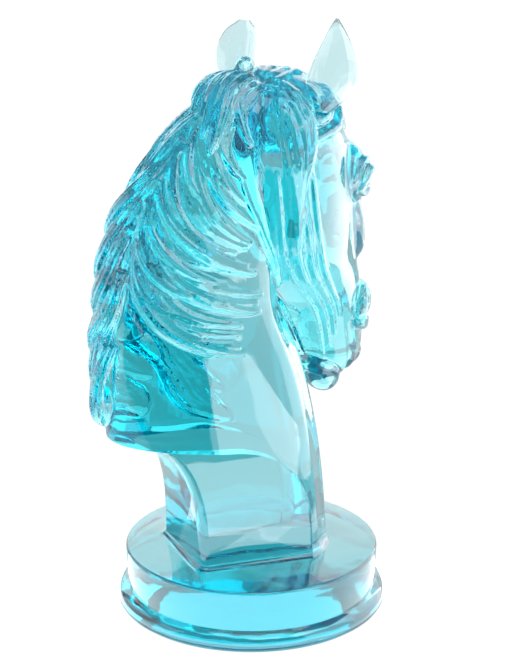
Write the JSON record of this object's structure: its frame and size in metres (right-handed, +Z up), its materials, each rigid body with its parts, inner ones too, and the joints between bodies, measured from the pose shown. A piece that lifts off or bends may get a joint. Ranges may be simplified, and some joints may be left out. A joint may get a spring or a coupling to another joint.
{
  "type": "glass horse head sculpture",
  "caption": "Horse head of clear blue glass with a flowing mane, on a round foot with a beaded rim, for display on a shelf or table.",
  "frame": {"origin": "centre of the round foot's flat underside, which rests on the shelf", "axes": "+Z up; +X the way that the neck's front faces; +Y the horse's left, towards which its head is turned by 38 degrees"},
  "size_m": [0.1718, 0.145, 0.3273],
  "materials": {
    "blue_glass": "polished"
  },
  "bodies": {
    "root": {"glass_horse_head": "blue_glass"}
  },
  "joints": []
}
